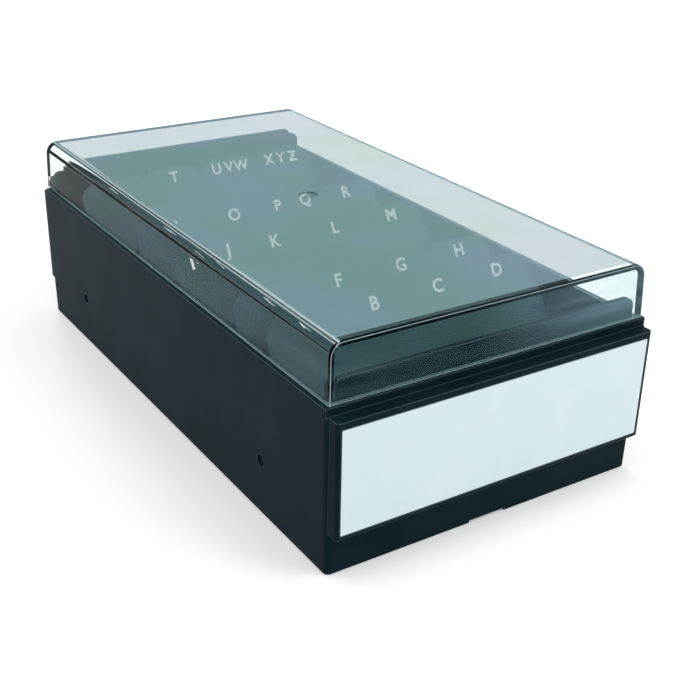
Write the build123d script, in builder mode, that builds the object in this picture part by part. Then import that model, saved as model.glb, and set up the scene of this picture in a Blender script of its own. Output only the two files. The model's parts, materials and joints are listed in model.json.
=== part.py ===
from build123d import *
from math import cos, floor, radians, sin, tan
import os

os.makedirs("parts", exist_ok=True)

# Desk box for business cards: an open moulded body, a clear lid hinged at the back,
# a label on the front and twenty index leaves in five groups of four.
# Millimetres. The origin is the centre of the underside, with the label towards -Y.

# Body
body_width = 118.0  # at the rim
body_length = 217.0  # at the rim, without the raised end panels
rim_height = 54.0
body_draft = 0.5  # how far each wall leans in from the rim to the underside
side_wall = 2.2
end_wall = 2.2
floor_thickness = 2.5
body_corner_radius = 2.0
cavity_corner_radius = 1.0
foot_edge_radius = 0.8

# Raised panel on each end wall
panel_inset = 1.0  # in from the body's sides
panel_depth = 3.4  # out from the end wall at the rim
panel_bottom = 13.5
panel_below_rim = 2.6
panel_edge_radius = 1.2
panel_foot_chamfer = 0.8
panel_skin = 1.5
panel_core_width = 1.8
panel_core_margin = 3.0
panel_core_ribs = 2
panel_core_rib = 2.0

# Label and its recess
label_side_margin = 1.7  # of the panel, beside the label
label_foot_margin = 1.9
label_head_margin = 2.4
label_thickness = 0.3
label_clearance = 0.25
label_recess_depth = 0.4
label_corner_radius = 0.4

# Small marks on the body
dimple_radius = 2.0
dimple_depth = 1.2
dimple_height = 19.0
dimple_from_end = 38.0
slot_width = 14.0
slot_height = 1.2
slot_depth = 4.0

# Lid
lid_side_inset = 1.3  # in from the body's rim, on each side
lid_end_inset = 1.6
lid_gap = 0.3  # the lid's edge stands this far over the rim
lid_height = 18.2
lid_wall = 2.2
lid_draft = 0.6
lid_edge_radius = 4.6
lid_end_edge_radius = 0.5
lid_inner_edge_radius = 1.7
gate_dimple_radius = 3.5
gate_dimple_depth = 0.4
gate_stub_radius = 0.9
gate_stub_height = 0.3

# Lips that stand up inside the lid
lip_thickness = 2.0
lip_clearance = 0.3
lip_height = 7.0  # over the rim
lip_corner_radius = 3.0
back_lip_height = 9.0
back_lip_corner_radius = 1.0
shelf_slope_height = 5.5  # the shelf under a lip slopes down to the end wall
front_shelf_setback = 1.2  # from the body's end to the front of the rim

# Hinge
hinge_offset = 1.45  # from the lid's back face and lower edge to the pivot
ear_radius = 2.3
ear_width = 4.6
pin_radius = 1.25
pin_clearance = 0.05
pin_end_gap = 0.3
ear_web_behind = 0.9
ear_inner_wall = 0.8
ear_lid_clearance = 0.4
back_shelf_clearance = 0.25

# Saw-toothed racks on the floor that the index leaves stand in
tooth_pitch = 10.4
tooth_height = 8.0
rack_width = 12.0
rack_pad = 0.5
front_notch_from_wall = 11.65

# Index leaves
lean = 31.0  # degrees back from upright
leaf_thickness = 0.8
leaf_pitch = 1.3
leaves_in_group = 4  # and columns of tabs
leaf_side_gap = 5.8
leaf_headroom = 1.8  # under the closed lid when a leaf stands upright
leaf_floor_gap = 0.1
leaf_rest_gap = 0.2
leaf_front_gap = 0.35
tab_height = 9.5
tab_corner_radius = 6.5
shoulder_radius = 1.5
group_shares = (0.0, 0.14, 0.43, 0.64, 1.0)  # places of the five groups along the racks
space_behind_groups = 8.0
leaf_names = (
    ("a", "b", "c", "d"),
    ("e", "f", "g", "h"),
    ("ij", "k", "l", "m"),
    ("n", "o", "pq", "r"),
    ("s", "t", "uvw", "xyz"),
)

cut_extra = 5.0  # how far a cutting block runs past what it cuts

# Places worked out from the sizes above
half_width = body_width / 2
half_length = body_length / 2
cavity_half_width = half_width - side_wall
cavity_half_length = half_length - end_wall
panel_top = rim_height - panel_below_rim
panel_face = half_length + panel_depth
label_width = body_width - 2 * (panel_inset + label_side_margin)
label_bottom = panel_bottom + label_foot_margin
label_height = panel_top - label_head_margin - label_bottom
dimple_y = half_length - dimple_from_end

lid_bottom = rim_height + lid_gap
lid_top = lid_bottom + lid_height
lid_half_width = half_width - lid_side_inset
lid_half_length = half_length - lid_end_inset
lid_inner_half_width = lid_half_width - lid_wall
lid_inner_half_length = lid_half_length - lid_wall
lid_ceiling = lid_top - lid_wall
draft_at_lip = lid_draft * (lip_height - lid_gap) / lid_height

pivot_y = lid_half_length - hinge_offset
pivot_z = lid_bottom + hinge_offset
lip_half_width = lid_inner_half_width - draft_at_lip - lip_clearance
front_lip_outer = -(lid_inner_half_length - draft_at_lip - lip_clearance)
front_lip_inner = front_lip_outer + lip_thickness
back_lip_outer = pivot_y - ear_radius
back_lip_inner = back_lip_outer - lip_thickness
front_shelf_edge = -(half_length - front_shelf_setback)
back_shelf_edge = pivot_y - back_shelf_clearance
lip_top = rim_height + lip_height
ear_start = lip_half_width - ear_width

rack_base = floor_thickness + rack_pad
foot_radius = leaf_thickness / 2
foot_z = rack_base + foot_radius + leaf_floor_gap
first_foot = leaf_front_gap + foot_radius
last_foot = first_foot + (leaves_in_group - 1) * leaf_pitch
flank_foot = (
    last_foot
    + (foot_radius + leaf_rest_gap) / cos(radians(lean))
    - (foot_z - rack_base) * tan(radians(lean))
)
flank_run = min(tooth_height * tan(radians(lean)), tooth_pitch - flank_foot)
crest_z = rack_base + flank_run / tan(radians(lean))
first_notch = -cavity_half_length + front_notch_from_wall
tooth_count = floor((cavity_half_length - first_notch) / tooth_pitch)

leaf_width = 2 * (cavity_half_width - leaf_side_gap)
leaf_height = lid_ceiling - leaf_headroom - foot_z
leaf_reach = last_foot + leaf_height * sin(radians(lean))
last_group_notch = floor((back_lip_inner - space_behind_groups - leaf_reach - first_notch) / tooth_pitch)
tab_width = leaf_width / leaves_in_group


def drafted_block(bottom_half_width, bottom_half_length, top_half_width, top_half_length,
                  low, high, corner_radius):
    """A block whose walls lean evenly from its low face to its high face."""
    with BuildPart() as block:
        with BuildSketch(Plane.XY.offset(low)):
            RectangleRounded(2 * bottom_half_width, 2 * bottom_half_length, corner_radius)
        with BuildSketch(Plane.XY.offset(high)):
            RectangleRounded(2 * top_half_width, 2 * top_half_length, corner_radius)
        loft(ruled=True)
    return block.part


def lid_block(half_wide, half_long, low, high, draft, edge_radius):
    """A sharp-ended block with its two long top edges rounded, for the lid and its hollow."""
    with BuildPart() as block:
        with BuildSketch(Plane.XY.offset(low)):
            Rectangle(2 * half_wide, 2 * half_long)
        with BuildSketch(Plane.XY.offset(high)):
            Rectangle(2 * (half_wide - draft), 2 * (half_long - draft))
        loft(ruled=True)
        fillet(block.edges().group_by(Axis.Z)[-1].filter_by(Axis.Y), radius=edge_radius)
    return block.part


def end_panel():
    """The raised panel of the front end wall, cored out from below between ribs."""
    half_panel = half_width - panel_inset
    skin_inner = -panel_face + panel_skin
    core_half = half_panel - panel_core_margin
    core_count = panel_core_ribs + 1
    core_pitch = 2 * core_half / core_count
    with BuildPart() as panel:
        with BuildSketch(Plane.XY.offset(panel_bottom)):
            with Locations((0, -panel_face)):
                Rectangle(2 * half_panel, panel_depth + end_wall / 2, align=(Align.CENTER, Align.MIN))
        extrude(amount=panel_top - panel_bottom)
        front = panel.edges().group_by(Axis.Y)[0]
        fillet(front.filter_by(Axis.Z), radius=panel_edge_radius)
        chamfer(panel.faces().sort_by(Axis.Y)[0].edges().group_by(Axis.Z)[0], length=panel_foot_chamfer)
        with BuildSketch(Plane.XY.offset(panel_bottom)):
            with GridLocations(core_pitch, 0, core_count, 1):
                with Locations((0, skin_inner)):
                    Rectangle(core_pitch - panel_core_rib, panel_core_width, align=(Align.CENTER, Align.MIN))
        extrude(amount=panel_top - panel_core_margin - panel_bottom, mode=Mode.SUBTRACT)
    return panel.part


def end_shelf(outer, inner):
    """The thick top of the front end wall, at two distances from the box's middle: a flat rim
    with a sloping underside inside the box."""
    wall = cavity_half_length + end_wall / 2
    with BuildPart() as shelf:
        with BuildSketch(Plane.YZ.offset(-cavity_half_width - side_wall / 2)):
            Polygon(
                (-wall, panel_top - shelf_slope_height),
                (-cavity_half_length, panel_top - shelf_slope_height),
                (-inner, panel_top),
                (-inner, rim_height),
                (-outer, rim_height),
                (-outer, panel_top),
                (-wall, panel_top),
                align=None,
            )
        extrude(amount=2 * cavity_half_width + side_wall)
    return shelf.part


def lip(outer, inner, half_wide, top, corner_radius):
    """An upright lip on a shelf, with its two upper corners rounded."""
    with BuildPart() as wall:
        with BuildSketch(Plane.XZ.offset(-min(outer, inner))) as face:
            with Locations((0, panel_top)):
                Rectangle(2 * half_wide, top - panel_top, align=(Align.CENTER, Align.MIN))
            fillet(face.vertices().group_by(Axis.Y)[-1], radius=corner_radius)
        extrude(amount=-abs(outer - inner))
    return wall.part


def racks():
    """Two strips of saw teeth, each with a flank that leans back like the leaves."""
    strip_inner = cavity_half_width + side_wall / 2 - rack_width
    with BuildPart() as strips:
        for side in (-1, 1):
            start = min(side * strip_inner, side * (strip_inner + rack_width))
            with BuildSketch(Plane.YZ.offset(start)):
                with Locations((0, floor_thickness - rack_pad)):
                    Rectangle(2 * cavity_half_length, 2 * rack_pad, align=(Align.CENTER, Align.MIN))
                for step in range(-1, tooth_count):
                    notch = first_notch + step * tooth_pitch
                    Polygon(
                        (notch + flank_foot, rack_base),
                        (notch + flank_foot + flank_run, crest_z),
                        (notch + tooth_pitch, crest_z),
                        (notch + tooth_pitch, rack_base),
                        align=None,
                    )
            extrude(amount=rack_width)
    return strips.part


# Body
with BuildPart() as body:
    add(drafted_block(half_width - body_draft, half_length - body_draft, half_width, half_length,
                      0, rim_height, body_corner_radius))
    fillet(body.edges().group_by(Axis.Z)[0], radius=foot_edge_radius)
    add(drafted_block(cavity_half_width - body_draft, cavity_half_length - body_draft,
                      cavity_half_width, cavity_half_length,
                      floor_thickness, rim_height, cavity_corner_radius), mode=Mode.SUBTRACT)

    # The ends of the walls drop to the level of the panels' tops.
    with BuildSketch(Plane.XY.offset(panel_top)):
        with Locations((0, front_shelf_edge)):
            Rectangle(body_width + cut_extra, cut_extra + front_shelf_setback,
                      align=(Align.CENTER, Align.MAX))
        with Locations((0, back_shelf_edge)):
            Rectangle(body_width + cut_extra, cut_extra + half_length - back_shelf_edge,
                      align=(Align.CENTER, Align.MIN))
    extrude(amount=panel_below_rim + cut_extra, mode=Mode.SUBTRACT)

    add(end_shelf(-front_shelf_edge, -front_lip_inner))
    add(mirror(end_shelf(back_shelf_edge, back_lip_inner), about=Plane.XZ))
    add(lip(front_lip_outer, front_lip_inner, lip_half_width, lip_top, lip_corner_radius))
    add(lip(back_lip_outer, back_lip_inner, lip_half_width, lip_top, lip_corner_radius))
    add(lip(back_lip_outer, back_lip_inner, ear_start, rim_height + back_lip_height, back_lip_corner_radius))

    # Hinge ears behind the back lip, bored from their outer ends.
    for side in (-1, 1):
        outer_end = Plane.YZ.offset(side * lip_half_width)
        with BuildSketch(outer_end):
            with Locations((pivot_y, pivot_z)):
                Circle(ear_radius)
            with Locations((back_lip_outer, pivot_z)):
                Rectangle(ear_radius + ear_web_behind, pivot_z - panel_top, align=(Align.MIN, Align.MAX))
        extrude(amount=-side * ear_width)
        with BuildSketch(outer_end):
            with Locations((pivot_y, pivot_z)):
                Circle(pin_radius + pin_clearance)
        extrude(amount=-side * (ear_width - ear_inner_wall), mode=Mode.SUBTRACT)

    add(racks())
    add(end_panel())
    add(mirror(end_panel(), about=Plane.XZ))

    # Recess for the label.
    with BuildSketch(Plane.XZ.offset(panel_face)):
        with Locations((0, label_bottom - label_clearance)):
            Rectangle(label_width + 2 * label_clearance, label_height + 2 * label_clearance,
                      align=(Align.CENTER, Align.MIN))
    extrude(amount=-label_recess_depth, mode=Mode.SUBTRACT)

    # Two round dimples on each long side, and a slot in each end's lower edge.
    dimple_floor = half_width - body_draft * (1 - dimple_height / rim_height) - dimple_depth
    for side in (-1, 1):
        with BuildSketch(Plane.YZ.offset(side * dimple_floor)):
            with Locations((-dimple_y, dimple_height), (dimple_y, dimple_height)):
                Circle(dimple_radius)
        extrude(amount=side * cut_extra, mode=Mode.SUBTRACT)
        with BuildSketch():
            with Locations((0, side * (half_length - slot_depth / 2))):
                Rectangle(slot_width, slot_depth)
        extrude(amount=slot_height, mode=Mode.SUBTRACT)
body.part.label = "body"

# Lid
with BuildPart() as lid:
    add(lid_block(lid_half_width, lid_half_length, lid_bottom, lid_top, lid_draft, lid_edge_radius))
    for end_face in (lid.faces().sort_by(Axis.Y)[0], lid.faces().sort_by(Axis.Y)[-1]):
        fillet(end_face.edges().sort_by(Axis.Z)[1:], radius=lid_end_edge_radius)
    # The lower back edge is round about the pivot, so that it clears the body as it turns.
    with BuildSketch(Plane.YZ.offset(-lid_half_width)):
        with Locations((pivot_y, pivot_z)):
            Rectangle(cut_extra, cut_extra, align=(Align.MIN, Align.MAX))
            Circle(hinge_offset, mode=Mode.SUBTRACT)
    extrude(amount=2 * lid_half_width, mode=Mode.SUBTRACT)
    ceiling_draft = lid_draft * (lid_height - lid_wall) / lid_height
    add(lid_block(lid_inner_half_width, lid_inner_half_length, lid_bottom, lid_ceiling,
                  ceiling_draft, lid_inner_edge_radius), mode=Mode.SUBTRACT)
    for side in (-1, 1):
        # A notch in the back wall leaves room for the ear.
        notch_half = (lid_inner_half_width - ear_start + ear_lid_clearance) / 2
        notch_top = pivot_z + ear_radius + ear_lid_clearance
        with BuildSketch(Plane.XZ.offset(-lid_half_length - cut_extra)):
            with Locations((side * (lid_inner_half_width - notch_half), lid_bottom)):
                Rectangle(2 * notch_half, notch_top - lid_bottom, align=(Align.CENTER, Align.MIN))
        extrude(amount=2 * cut_extra, mode=Mode.SUBTRACT)
        # A pin on the side wall's inner face turns in the ear.
        pin_tip = ear_start + ear_inner_wall + pin_end_gap
        with BuildSketch(Plane.YZ.offset(side * pin_tip)):
            with Locations((pivot_y, pivot_z)):
                Circle(pin_radius)
        extrude(amount=side * (lid_inner_half_width + lid_wall / 2 - pin_tip))
    # The moulding gate's mark in the middle of the lid.
    with BuildSketch(Plane.XY.offset(lid_top)):
        Circle(gate_dimple_radius)
    extrude(amount=-gate_dimple_depth, mode=Mode.SUBTRACT)
    with BuildSketch(Plane.XY.offset(lid_top - gate_dimple_depth)):
        Circle(gate_stub_radius)
    extrude(amount=gate_stub_height)
lid.part.label = "lid"

# Label
with BuildPart() as label:
    label_back = panel_face - label_recess_depth
    with BuildSketch(Plane.XZ.offset(label_back)):
        with Locations((0, label_bottom + label_height / 2)):
            RectangleRounded(label_width, label_height, label_corner_radius)
    extrude(amount=label_thickness)
label.part.label = "label"


def index_leaf(foot_y, column):
    """One leaf: a plate that leans back from its round foot, with its tab in one of four columns."""
    face = Plane(
        origin=(0, foot_y, foot_z),
        x_dir=(1, 0, 0),
        z_dir=(0, -cos(radians(lean)), sin(radians(lean))),
    )
    shoulder = leaf_height - tab_height
    tab_centre = (column - (leaves_in_group - 1) / 2) * tab_width
    with BuildPart() as leaf:
        with BuildSketch(face) as outline:
            Rectangle(leaf_width, shoulder, align=(Align.CENTER, Align.MIN))
            with Locations((tab_centre, 0)):
                Rectangle(tab_width, leaf_height, align=(Align.CENTER, Align.MIN))
            fillet(outline.vertices().group_by(Axis.Y)[-1], radius=tab_corner_radius)
            fillet(outline.vertices().group_by(Axis.Y)[1], radius=shoulder_radius)
        extrude(amount=leaf_thickness / 2, both=True)
        with BuildSketch(Plane.YZ.offset(-leaf_width / 2)):
            with Locations((foot_y, foot_z)):
                Circle(foot_radius)
        extrude(amount=leaf_width)
    return leaf


export_step(body.part, "parts/body.step")
export_step(lid.part, "parts/lid.step")
export_step(label.part, "parts/label.step")

for share, names in zip(group_shares, leaf_names):
    notch = first_notch + round(share * last_group_notch) * tooth_pitch
    for column, name in enumerate(names):
        leaf = index_leaf(notch + first_foot + column * leaf_pitch, column)
        leaf.part.label = "index_leaf_" + name
        export_step(leaf.part, "parts/index_leaf_" + name + ".step")
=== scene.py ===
import json
from math import cos, radians, sin

import bmesh
import bpy
from mathutils import Matrix, Vector


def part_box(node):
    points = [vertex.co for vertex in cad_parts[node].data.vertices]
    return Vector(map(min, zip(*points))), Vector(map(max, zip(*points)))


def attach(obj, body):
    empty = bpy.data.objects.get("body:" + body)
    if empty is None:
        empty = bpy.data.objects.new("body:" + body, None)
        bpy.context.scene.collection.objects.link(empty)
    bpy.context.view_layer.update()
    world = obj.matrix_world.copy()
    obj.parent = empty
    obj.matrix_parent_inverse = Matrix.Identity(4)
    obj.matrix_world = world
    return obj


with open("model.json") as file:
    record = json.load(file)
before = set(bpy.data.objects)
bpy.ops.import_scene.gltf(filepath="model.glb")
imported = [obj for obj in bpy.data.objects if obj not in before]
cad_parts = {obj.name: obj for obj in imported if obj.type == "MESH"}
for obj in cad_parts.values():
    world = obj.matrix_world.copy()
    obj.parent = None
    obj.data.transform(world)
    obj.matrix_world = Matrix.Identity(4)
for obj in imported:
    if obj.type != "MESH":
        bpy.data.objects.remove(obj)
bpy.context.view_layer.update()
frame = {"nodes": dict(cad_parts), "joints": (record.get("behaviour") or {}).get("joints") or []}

scene = bpy.context.scene

MM = 0.001  # metres

# Camera, from the photograph
PHOTO_SIDE = 700  # pixels
SENSOR_WIDTH = 36.0
CAMERA_AZIMUTH = radians(-33.37)
CAMERA_ELEVATION = radians(26.01)
CAMERA_ROLL = radians(1.345)
CAMERA_DISTANCE = 447.96 * MM
CAMERA_AIM = Vector((19.07, 0.0, 7.15)) * MM
FOCAL_PIXELS = 1168.7
CLIP_NEAR = 10 * MM
CLIP_FAR = 20.0

# Moulded edges
BODY_EDGE = 0.30 * MM  # width of the rounding that is asked for
WELD_DISTANCE = 0.001 * MM
SHARP_EDGE = radians(35.0)  # edges that turn by more than this count as sharp

# Index letters
LEAN = radians(31.0)  # of the leaves, back from upright
LEAF_THICKNESS = 0.8 * MM
TAB_COLUMNS = 4
CAP_HEIGHT = 4.5 * MM
LETTER_BELOW_TAB_TOP = 4.1 * MM  # from the tab's top edge to the middle of a letter
LETTER_WEIGHT = 0.030  # how far the outline is thickened, as a share of the letter's size
INK_HEIGHT = 0.03 * MM
PAIR_SPACING = 12.0 * MM  # between the middles of a tab's two letters
TRIPLE_SPACING = 5.7 * MM  # the same for three letters
INDEX_GROUPS = (
    ("a", "b", "c", "d"),
    ("e", "f", "g", "h"),
    ("ij", "k", "l", "m"),
    ("n", "o", "pq", "r"),
    ("s", "t", "uvw", "xyz"),
)

# Colours, in linear light
BODY_DARK = (0.0035, 0.0125, 0.0170)
BODY_PALE = (0.0065, 0.0185, 0.0245)
# painted highlight along the body's edges and creases
BODY_EDGE_HIGHLIGHT = (0.075, 0.105, 0.125)
BODY_GLOSS = (0.30, 0.65, 0.85)
LEAF_GREEN = (0.024, 0.080, 0.068)
LEAF_BLUE = (0.044, 0.082, 0.124)
LABEL_DARK = (0.710, 0.845, 0.895)
LABEL_PALE = (0.745, 0.870, 0.915)
INK_DARK = (0.86, 0.95, 0.96)
INK_PALE = (0.95, 0.98, 0.98)
LID_WALL_COLOUR = (0.93, 0.955, 0.95)
LID_TOP_COLOUR = (0.64, 0.58, 0.575)
LID_GLOSS = (0.05, 0.40, 0.52)
# colours of the lid's pale film: a painted reflection on the top and the right of the front,
# painted highlights on the edges and foot, and hazy streaks on the walls
LID_REFLECTION_AND_HAZE_GREEN = (0.43, 0.80, 0.76)
LID_REFLECTION_AND_HAZE_BLUE = (0.50, 0.79, 0.96)
# colour of the painted highlights along the lid's edges and foot
LID_EDGE_HIGHLIGHT_COLOUR = (0.66, 0.82, 0.85)
LID_SHADOW_COLOUR = (0.84, 0.93, 0.92)  # of the lamps' light that comes through it
FLOOR_COLOUR = (0.90, 0.90, 0.90)
WHITE = (1, 1, 1)

# Lid
LID_IOR = 1.49
LID_COATING = 0.80  # how much of the reflection is taken away
LID_TOP_REFLECTION = 0.29  # share of the light that the top's outer face scatters, a painted reflection
LID_WALL_HAZE = 0.025  # share of the light that the walls scatter, in hazy streaks
LID_FRONT_REFLECTION = 0.17  # share of the light scattered at the right of the front wall, in streaks, a painted reflection
LID_EDGE_HIGHLIGHT = 0.60  # share of the light scattered along its outer edges, a painted highlight
LID_FOOT_HIGHLIGHT = 0.24  # share of the light scattered along its foot, a painted highlight
LID_TOP_REFLECTION_DEPTH = 0.6 * MM  # below the lid's highest point, where the top's painted reflection ends
LID_FOOT_LINE = 0.4 * MM  # height of the painted highlight line along the lid's foot
LID_CLEAR_FRONT = 3.3 * MM  # length of the clear strip at the front of the top
CLEAR_BLEND = 0.3 * MM  # over which the painted reflection fades in at the back of that strip
lid_low, lid_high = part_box("lid")

# Light
WORLD_LIGHT = 0.62
FLOOR_SIZE = 6.0
FLOOR_LIFT = 0.26  # added to the floor where it is seen, so that it reads as white paper
FLOOR_FAR_LIFT = 0.48  # the same from FLOOR_FAR on, where little of the lamps' light falls
FLOOR_NEAR = 0.5  # distance from the floor's middle up to which the lift is FLOOR_LIFT
FLOOR_FAR = 1.5
LAMPS = (  # name, place, side and power
    ("key", (0.9, -1.0, 1.1), 1.0, 10.0),
    ("fill", (-0.5, 0.2, 1.5), 1.0, 5.0),
    ("edge", (0.23, 1.2, 1.03), 0.3, 4.0),
)


def new_material(name):
    """A new material, its emptied node tree and that tree's output node."""
    material = bpy.data.materials.new(name)
    material.use_nodes = True
    material.node_tree.nodes.clear()
    return material, material.node_tree, material.node_tree.nodes.new("ShaderNodeOutputMaterial")


def add_node(tree, kind, settings=(), **inputs):
    """A node with its settings and unlinked inputs; an underscore in an input's name is a space."""
    node = tree.nodes.new(kind)
    for key, value in dict(settings).items():
        setattr(node, key, value)
    for key, value in inputs.items():
        node.inputs[key.replace("_", " ")].default_value = value
    return node


def noise(tree, size, detail, roughness=0.55, stretch=1.0):
    """Noise in the object's own space, its features about size high and stretch times as wide."""
    place = add_node(tree, "ShaderNodeTexCoord")
    level = add_node(tree, "ShaderNodeMapping", Scale=(1 / stretch, 1 / stretch, 1))
    texture = add_node(
        tree, "ShaderNodeTexNoise", Scale=1.0 / size, Detail=detail, Roughness=roughness
    )
    tree.links.new(place.outputs["Object"], level.inputs["Vector"])
    tree.links.new(level.outputs["Vector"], texture.inputs["Vector"])
    return texture.outputs["Fac"]


def ramp(tree, value, low, high, first, second):
    """Blends from the first colour to the second as value goes from low to high."""
    node = add_node(tree, "ShaderNodeValToRGB")
    node.color_ramp.elements[0].position = low
    node.color_ramp.elements[0].color = (*first, 1)
    node.color_ramp.elements[1].position = high
    node.color_ramp.elements[1].color = (*second, 1)
    tree.links.new(value, node.inputs["Fac"])
    return node.outputs["Color"]


def span(tree, value, low, high):
    """Maps 0 to 1 onto low to high."""
    node = add_node(tree, "ShaderNodeMapRange", To_Min=low, To_Max=high)
    tree.links.new(value, node.inputs["Value"])
    return node.outputs["Result"]


def bump(tree, height, depth, strength, under=None):
    """A bump of that depth, on top of the bump under it."""
    node = add_node(tree, "ShaderNodeBump", Strength=strength, Distance=depth)
    tree.links.new(height, node.inputs["Height"])
    if under is not None:
        tree.links.new(under, node.inputs["Normal"])
    return node.outputs["Normal"]


def tint(tree, share, under, colour):
    """The colour under it, with that share of another colour."""
    node = add_node(tree, "ShaderNodeMix", {"data_type": "RGBA"})
    sockets = {socket.identifier: socket for socket in node.inputs}
    tree.links.new(share, sockets["Factor_Float"])
    tree.links.new(under, sockets["A_Color"])
    sockets["B_Color"].default_value = (*colour, 1)
    return next(socket for socket in node.outputs if socket.identifier == "Result_Color")


def mix_shaders(tree, share, first, second):
    """The first shader, with that share of the second; the share is a number or a socket."""
    node = add_node(tree, "ShaderNodeMixShader")
    if isinstance(share, float):
        node.inputs[0].default_value = share
    else:
        tree.links.new(share, node.inputs[0])
    tree.links.new(first, node.inputs[1])
    tree.links.new(second, node.inputs[2])
    return node.outputs["Shader"]


def rise(tree, value, low, high):
    """0 up to low and 1 from high on; high may be the lower of the two."""
    node = add_node(tree, "ShaderNodeMapRange")
    node.inputs["From Min"].default_value = low
    node.inputs["From Max"].default_value = high
    tree.links.new(value, node.inputs["Value"])
    return node.outputs["Result"]


def combine(tree, operation, *values):
    """The result of a Math node's operation on one or two values."""
    node = add_node(tree, "ShaderNodeMath", {"operation": operation})
    for value, socket in zip(values, node.inputs):
        tree.links.new(value, socket)
    return node.outputs["Value"]


def largest(tree, value, *others):
    """The largest of the values."""
    for other in others:
        value = combine(tree, "MAXIMUM", value, other)
    return value


def own_parts(tree, kind):
    """The X, Y and Z, by name, of a point ("Object") or of the way its surface faces ("Normal").
    Both are in the object's own space."""
    place = add_node(tree, "ShaderNodeTexCoord")
    split = add_node(tree, "ShaderNodeSeparateXYZ")
    tree.links.new(place.outputs[kind], split.inputs["Vector"])
    return split.outputs


# Mask for the painted highlight along the body's edges and creases.
def edge_highlight_mask(tree, radius):
    """1 along the convex and concave edges of a piece, and 0 on its faces."""
    rounded = add_node(tree, "ShaderNodeBevel", {"samples": 6}, Radius=radius)
    flat = add_node(tree, "ShaderNodeNewGeometry")
    agree = add_node(tree, "ShaderNodeVectorMath", {"operation": "DOT_PRODUCT"})
    tree.links.new(rounded.outputs["Normal"], agree.inputs[0])
    tree.links.new(flat.outputs["Normal"], agree.inputs[1])
    return rise(tree, agree.outputs["Value"], low=0.99, high=0.86)


# Mask of the painted reflection on the lid's top. It also picks the top's glass colour.
def top_face(tree):
    """1 on the lid's outer top behind its clear front strip, and 0 on the rest of it."""
    point = own_parts(tree, "Object")
    reflection_bottom = lid_high.z - LID_TOP_REFLECTION_DEPTH
    reflection_front = lid_low.y + LID_CLEAR_FRONT
    top = rise(tree, point["Z"], low=reflection_bottom, high=reflection_bottom + LID_TOP_REFLECTION_DEPTH / 2)
    behind = rise(tree, point["Y"], low=reflection_front - CLEAR_BLEND, high=reflection_front)
    return combine(tree, "MULTIPLY", top, behind)


# Mask of the painted highlights along the lid's edges.
def lid_edges(tree):
    """1 along the lid's rounded end edges and the upper side of its long top edges, and 0 on its
    flat faces. The edges are told by the way that they face."""
    facing = own_parts(tree, "Normal")
    across = combine(tree, "ABSOLUTE", facing["X"])
    along = combine(tree, "ABSOLUTE", facing["Y"])
    other = largest(tree, across, facing["Z"])
    ends = combine(
        tree,
        "MINIMUM",
        rise(tree, along, low=0.89, high=0.95),
        rise(tree, other, low=0.05, high=0.10),
    )
    behind = combine(
        tree,
        "MINIMUM",
        rise(tree, facing["Y"], low=0.20, high=0.35),
        rise(tree, other, low=0.20, high=0.30),
    )
    slope = combine(
        tree,
        "MINIMUM",
        rise(tree, across, low=0.22, high=0.28),
        rise(tree, across, low=0.42, high=0.36),
    )
    long_edges = combine(tree, "MULTIPLY", slope, rise(tree, facing["Z"], low=0.4, high=0.5))
    return largest(tree, ends, behind, long_edges)


# Mask of the painted highlight along the lid's foot.
def lid_foot(tree):
    """1 along the lid's foot, and 0 on the rest of it."""
    height = own_parts(tree, "Object")["Z"]
    line_top = lid_low.z + LID_FOOT_LINE
    return rise(tree, height, low=line_top, high=line_top - LID_FOOT_LINE / 2)


# Mask of the painted reflection at the right of the lid's front.
def front_right(tree):
    """Rises from 0 near the middle of the lid's front to 1 at its right, and is 0 elsewhere."""
    point = own_parts(tree, "Object")
    outward = rise(tree, own_parts(tree, "Normal")["Y"], low=-0.8, high=-0.9)
    front = combine(tree, "MINIMUM", outward, rise(tree, point["Y"], low=0.0, high=lid_low.y / 2))
    right = rise(tree, point["X"], low=-0.2 * lid_high.x, high=0.8 * lid_high.x)
    return combine(tree, "MULTIPLY", front, right)


def body_plastic():
    """Near-black moulded plastic with a fine grain, and a painted highlight along its edges and
    creases.
    """
    material, tree, output = new_material("body_plastic")
    shader = add_node(tree, "ShaderNodeBsdfPrincipled", IOR=1.49)
    shader.inputs["Specular IOR Level"].default_value = 0.05
    shader.inputs["Specular Tint"].default_value = (*BODY_GLOSS, 1)
    cloud = noise(tree, size=22 * MM, detail=3.0)
    grain = noise(tree, size=0.45 * MM, detail=2.0)
    swell = noise(tree, size=30 * MM, detail=1.0)
    colour = ramp(tree, cloud, low=0.35, high=0.70, first=BODY_DARK, second=BODY_PALE)
    # paler colour along the edges and creases: a painted highlight
    highlighted_colour = tint(tree, edge_highlight_mask(tree, radius=0.5 * MM), colour, BODY_EDGE_HIGHLIGHT)
    waves = bump(tree, swell, depth=0.25 * MM, strength=0.35)
    texture = bump(tree, grain, depth=0.03 * MM, strength=0.16, under=waves)
    tree.links.new(highlighted_colour, shader.inputs["Base Color"])
    tree.links.new(span(tree, grain, low=0.46, high=0.60), shader.inputs["Roughness"])
    tree.links.new(texture, shader.inputs["Normal"])
    tree.links.new(shader.outputs["BSDF"], output.inputs["Surface"])
    return material


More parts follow.
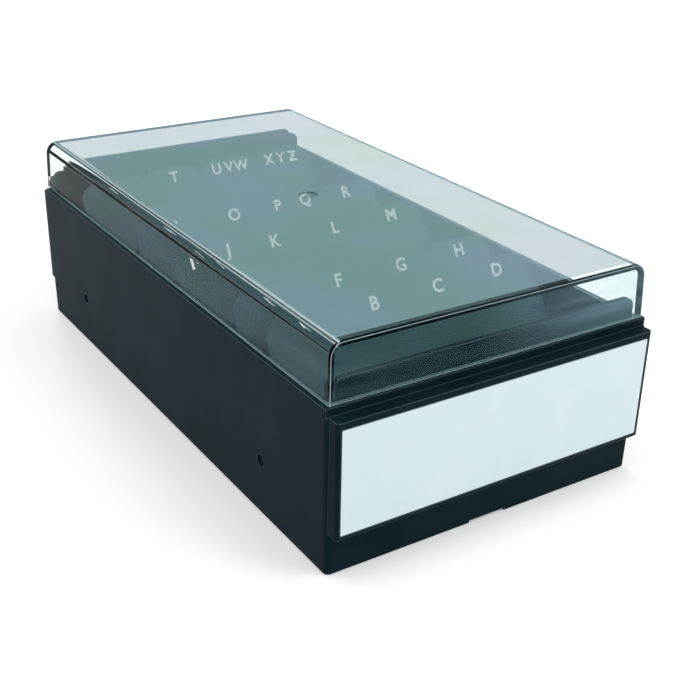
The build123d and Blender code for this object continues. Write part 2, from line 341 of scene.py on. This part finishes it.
def lid_plastic():
    """Clear smoke-green plastic with a pale film that paints a reflection on its top and the right
    of its front and painted highlights along its edges and its foot, and a trace of that film in
    hazy streaks on the walls. Lamps shine through it, tinted."""
    material, tree, output = new_material("lid_plastic")
    shader = add_node(tree, "ShaderNodeBsdfPrincipled", IOR=LID_IOR)
    shader.inputs["Specular Tint"].default_value = (*LID_GLOSS, 1)
    shader.inputs["Transmission Weight"].default_value = 1.0
    clear = add_node(tree, "ShaderNodeBsdfRefraction", IOR=LID_IOR)
    top = top_face(tree)
    colour = ramp(tree, top, low=0.0, high=1.0, first=LID_WALL_COLOUR, second=LID_TOP_COLOUR)
    scuffs = span(tree, noise(tree, size=6 * MM, detail=6.0, roughness=0.7), low=0.0, high=0.035)
    flow = bump(tree, noise(tree, size=40 * MM, detail=1.0), depth=0.30 * MM, strength=0.12)
    tree.links.new(colour, shader.inputs["Base Color"])
    tree.links.new(colour, clear.inputs["Color"])
    for glass in (shader, clear):
        tree.links.new(scuffs, glass.inputs["Roughness"])
        tree.links.new(flow, glass.inputs["Normal"])
    coated = mix_shaders(tree, LID_COATING, shader.outputs["BSDF"], clear.outputs["BSDF"])
    patches = noise(tree, size=70 * MM, detail=2.0)
    film = ramp(tree, patches, low=0.38, high=0.62, first=LID_REFLECTION_AND_HAZE_GREEN, second=LID_REFLECTION_AND_HAZE_BLUE)
    wiped = noise(tree, size=3 * MM, detail=3.0, stretch=14.0)
    streaks = rise(tree, wiped, low=0.42, high=0.68)
    # painted reflection, in streaks, at the right of the front wall
    front = combine(
        tree,
        "MULTIPLY",
        span(tree, streaks, low=0.5, high=1.0),
        span(tree, front_right(tree), low=0.0, high=LID_FRONT_REFLECTION),
    )
    # painted highlights along the lid's edges
    edges = lid_edges(tree)
    # painted highlight along the lid's foot
    foot = lid_foot(tree)
    # share of the pale film: painted reflections, painted highlights and hazy streaks
    share = largest(
        tree,
        span(tree, top, low=0.0, high=LID_TOP_REFLECTION),
        span(tree, streaks, low=0.0, high=LID_WALL_HAZE),
        front,
        span(tree, edges, low=0.0, high=LID_EDGE_HIGHLIGHT),
        span(tree, foot, low=0.0, high=LID_FOOT_HIGHLIGHT),
    )
    # where the film takes the colour of the painted highlights
    pale = largest(tree, edges, span(tree, foot, low=0.0, high=LID_FOOT_HIGHLIGHT / LID_EDGE_HIGHLIGHT))
    reflection_and_haze_shader = add_node(tree, "ShaderNodeBsdfDiffuse")
    tree.links.new(tint(tree, pale, film, LID_EDGE_HIGHLIGHT_COLOUR), reflection_and_haze_shader.inputs["Color"])
    with_reflection_and_haze = mix_shaders(tree, share, coated, reflection_and_haze_shader.outputs["BSDF"])
    lamps = add_node(tree, "ShaderNodeBsdfTransparent", Color=(*LID_SHADOW_COLOUR, 1))
    path = add_node(tree, "ShaderNodeLightPath")
    lit = mix_shaders(tree, path.outputs["Is Shadow Ray"], with_reflection_and_haze, lamps.outputs["BSDF"])
    tree.links.new(lit, output.inputs["Surface"])
    return material


def leaf_plastic():
    """Blue-grey sheet plastic with a satin grain and a faint mottle."""
    material, tree, output = new_material("leaf_plastic")
    shader = add_node(tree, "ShaderNodeBsdfPrincipled", IOR=1.5)
    shader.inputs["Specular IOR Level"].default_value = 0.18
    mottle = noise(tree, size=18 * MM, detail=4.0)
    grain = noise(tree, size=0.35 * MM, detail=2.0)
    colour = ramp(tree, mottle, low=0.30, high=0.72, first=LEAF_GREEN, second=LEAF_BLUE)
    tree.links.new(colour, shader.inputs["Base Color"])
    tree.links.new(span(tree, grain, low=0.42, high=0.58), shader.inputs["Roughness"])
    tree.links.new(bump(tree, grain, depth=0.02 * MM, strength=0.2), shader.inputs["Normal"])
    tree.links.new(shader.outputs["BSDF"], output.inputs["Surface"])
    return material


def label_card():
    """Matt white card with paper fibres."""
    material, tree, output = new_material("label_card")
    shader = add_node(tree, "ShaderNodeBsdfPrincipled", IOR=1.45)
    shader.inputs["Specular IOR Level"].default_value = 0.25
    shade = noise(tree, size=14 * MM, detail=3.0)
    fibre = noise(tree, size=0.6 * MM, detail=5.0, roughness=0.7)
    colour = ramp(tree, shade, low=0.30, high=0.70, first=LABEL_DARK, second=LABEL_PALE)
    tree.links.new(colour, shader.inputs["Base Color"])
    tree.links.new(span(tree, fibre, low=0.50, high=0.72), shader.inputs["Roughness"])
    tree.links.new(bump(tree, fibre, depth=0.03 * MM, strength=0.4), shader.inputs["Normal"])
    tree.links.new(shader.outputs["BSDF"], output.inputs["Surface"])
    return material


def white_ink():
    """Printed white ink, a little uneven."""
    material, tree, output = new_material("white_ink")
    shader = add_node(tree, "ShaderNodeBsdfPrincipled", IOR=1.5)
    shader.inputs["Specular IOR Level"].default_value = 0.3
    patch = noise(tree, size=1.6 * MM, detail=4.0)
    colour = ramp(tree, patch, low=0.25, high=0.60, first=INK_DARK, second=INK_PALE)
    tree.links.new(colour, shader.inputs["Base Color"])
    tree.links.new(span(tree, patch, low=0.40, high=0.55), shader.inputs["Roughness"])
    tree.links.new(shader.outputs["BSDF"], output.inputs["Surface"])
    return material


def dress(piece, material):
    """Gives a piece its one material."""
    piece.data.materials.clear()
    piece.data.materials.append(material)


def round_edges(piece, width):
    """Asks for rounded sharp edges on a moulding. Blender's overlap limit follows the mesh's
    shortest edge, which on the body narrows the rounding to under 0.01 mm."""
    weld = piece.modifiers.new("weld", "WELD")
    weld.merge_threshold = WELD_DISTANCE
    bevel = piece.modifiers.new("edges", "BEVEL")
    bevel.width = width
    bevel.segments = 2
    bevel.limit_method = "ANGLE"
    bevel.angle_limit = SHARP_EDGE
    bevel.harden_normals = True


def letter_text(character, size, extrude=0.0):
    """A thickened capital letter as a text object."""
    curve = bpy.data.curves.new("letter", "FONT")
    curve.body = character
    curve.size = size
    curve.offset = LETTER_WEIGHT * size
    curve.extrude = extrude
    text = bpy.data.objects.new("letter", curve)
    scene.collection.objects.link(text)
    bpy.context.view_layer.update()
    return text


def letter_size():
    """The text size at which a capital is CAP_HEIGHT tall."""
    text = letter_text("H", 1.0)
    size = CAP_HEIGHT / text.dimensions.y
    bpy.data.objects.remove(text)
    return size


def letter_mesh(character, size):
    """A capital letter as a thin solid, centred on the origin in X and Y, with its back at Z 0."""
    text = letter_text(character, size, INK_HEIGHT / 2)
    evaluated = text.evaluated_get(bpy.context.evaluated_depsgraph_get())
    mesh = bpy.data.meshes.new_from_object(evaluated)
    bpy.data.objects.remove(text)
    xs = [v.co.x for v in mesh.vertices]
    ys = [v.co.y for v in mesh.vertices]
    middle = Vector(((min(xs) + max(xs)) / 2, (min(ys) + max(ys)) / 2, -INK_HEIGHT / 2))
    mesh.transform(Matrix.Translation(-middle))
    return mesh


def letter_places(count):
    """Where the middles of a tab's letters go, left to right, from the tab's middle."""
    spacing = PAIR_SPACING if count == 2 else TRIPLE_SPACING
    return [(place - (count - 1) / 2) * spacing for place in range(count)]


def index_letters(name, column, size, ink):
    """The printed letters on one leaf's tab, as one piece that rides on the leaf."""
    low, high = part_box("index_leaf_" + name)
    foot = Vector(next(j for j in frame["joints"] if j["child"] == "leaf_" + name)["pos_m"])
    leaf_height = (high.z - foot.z - LEAF_THICKNESS / 2 * sin(LEAN)) / cos(LEAN)
    across = Vector((1, 0, 0))
    up = Vector((0, sin(LEAN), cos(LEAN)))
    out = Vector((0, -cos(LEAN), sin(LEAN)))
    centre = foot + up * (leaf_height - LETTER_BELOW_TAB_TOP) + out * (LEAF_THICKNESS / 2)
    centre.x = low.x + (column + 0.5) * (high.x - low.x) / TAB_COLUMNS
    turn = Matrix((across, up, out)).transposed().to_4x4()
    print_mesh = bmesh.new()
    for character, place in zip(name.upper(), letter_places(len(name))):
        letter = letter_mesh(character, size)
        letter.transform(Matrix.Translation(centre + across * place) @ turn)
        print_mesh.from_mesh(letter)
        bpy.data.meshes.remove(letter)
    mesh = bpy.data.meshes.new("index_letters_" + name)
    print_mesh.to_mesh(mesh)
    print_mesh.free()
    piece = bpy.data.objects.new(mesh.name, mesh)
    scene.collection.objects.link(piece)
    mesh.materials.append(ink)
    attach(piece, "leaf_" + name)


def make_camera():
    """The photograph's camera: no shift, and a slight roll."""
    back = Vector((
        sin(CAMERA_AZIMUTH) * cos(CAMERA_ELEVATION),
        -cos(CAMERA_AZIMUTH) * cos(CAMERA_ELEVATION),
        sin(CAMERA_ELEVATION),
    ))
    level = Vector((cos(CAMERA_AZIMUTH), sin(CAMERA_AZIMUTH), 0))
    above = back.cross(level)
    right = level * cos(CAMERA_ROLL) + above * sin(CAMERA_ROLL)
    up = above * cos(CAMERA_ROLL) - level * sin(CAMERA_ROLL)
    data = bpy.data.cameras.new("camera")
    data.sensor_width = SENSOR_WIDTH
    data.lens = FOCAL_PIXELS / PHOTO_SIDE * SENSOR_WIDTH
    data.clip_start = CLIP_NEAR
    data.clip_end = CLIP_FAR
    camera = bpy.data.objects.new("camera", data)
    camera.matrix_world = (
        Matrix.Translation(back * CAMERA_DISTANCE + CAMERA_AIM)
        @ Matrix((right, up, back)).transposed().to_4x4()
    )
    scene.collection.objects.link(camera)
    scene.camera = camera


def seen_by_eye(tree):
    """1 for rays from the camera, a reflection or a clear piece, and 0 for light that falls."""
    rays = add_node(tree, "ShaderNodeLightPath").outputs
    return largest(tree, rays["Is Camera Ray"], rays["Is Glossy Ray"], rays["Is Transmission Ray"])


def make_world():
    """An even white surround, which lights the object less than it shows."""
    world = bpy.data.worlds.new("surround")
    world.use_nodes = True
    scene.world = world
    tree = world.node_tree
    tree.nodes.clear()
    output = add_node(tree, "ShaderNodeOutputWorld")
    light = add_node(tree, "ShaderNodeBackground", Color=(*WHITE, 1), Strength=WORLD_LIGHT)
    shown = add_node(tree, "ShaderNodeBackground", Color=(*WHITE, 1), Strength=1.0)
    both = mix_shaders(
        tree, seen_by_eye(tree), light.outputs["Background"], shown.outputs["Background"]
    )
    tree.links.new(both, output.inputs["Surface"])


def make_floor():
    """A white floor that keeps the object's shadow."""
    mesh = bpy.data.meshes.new("floor")
    half = FLOOR_SIZE / 2
    corners = [(-half, -half, 0), (half, -half, 0), (half, half, 0), (-half, half, 0)]
    mesh.from_pydata(corners, [], [(0, 1, 2, 3)])
    floor = bpy.data.objects.new("floor", mesh)
    scene.collection.objects.link(floor)
    material, tree, output = new_material("floor")
    paper = add_node(tree, "ShaderNodeBsdfDiffuse", Color=(*FLOOR_COLOUR, 1))
    glow = add_node(tree, "ShaderNodeEmission", Color=(*WHITE, 1))
    place = add_node(tree, "ShaderNodeTexCoord")
    away = add_node(tree, "ShaderNodeVectorMath", {"operation": "LENGTH"})
    tree.links.new(place.outputs["Object"], away.inputs[0])
    far = rise(tree, away.outputs["Value"], low=FLOOR_NEAR, high=FLOOR_FAR)
    lift = span(tree, far, low=FLOOR_LIFT, high=FLOOR_FAR_LIFT)
    both = add_node(tree, "ShaderNodeAddShader")
    tree.links.new(combine(tree, "MULTIPLY", seen_by_eye(tree), lift), glow.inputs["Strength"])
    tree.links.new(paper.outputs["BSDF"], both.inputs[0])
    tree.links.new(glow.outputs["Emission"], both.inputs[1])
    tree.links.new(both.outputs["Shader"], output.inputs["Surface"])
    mesh.materials.append(material)


def make_lamp(name, place, side, power):
    """A soft square lamp that faces the object."""
    data = bpy.data.lights.new(name, "AREA")
    data.shape = "SQUARE"
    data.size = side
    data.energy = power
    lamp = bpy.data.objects.new(name, data)
    lamp.location = place
    lamp.rotation_mode = "QUATERNION"
    lamp.rotation_quaternion = Vector(place).to_track_quat("Z", "Y")
    scene.collection.objects.link(lamp)


make_camera()
make_world()
make_floor()
for lamp_name, lamp_place, lamp_side, lamp_power in LAMPS:
    make_lamp(lamp_name, lamp_place, lamp_side, lamp_power)

leaf_material = leaf_plastic()
ink_material = white_ink()
capital_size = letter_size()
dress(frame["nodes"]["body"], body_plastic())
round_edges(frame["nodes"]["body"], BODY_EDGE)
dress(frame["nodes"]["lid"], lid_plastic())
dress(frame["nodes"]["label"], label_card())
for group in INDEX_GROUPS:
    for column, name in enumerate(group):
        dress(frame["nodes"]["index_leaf_" + name], leaf_material)
        index_letters(name, column, capital_size, ink_material)

scene.view_settings.view_transform = "Standard"
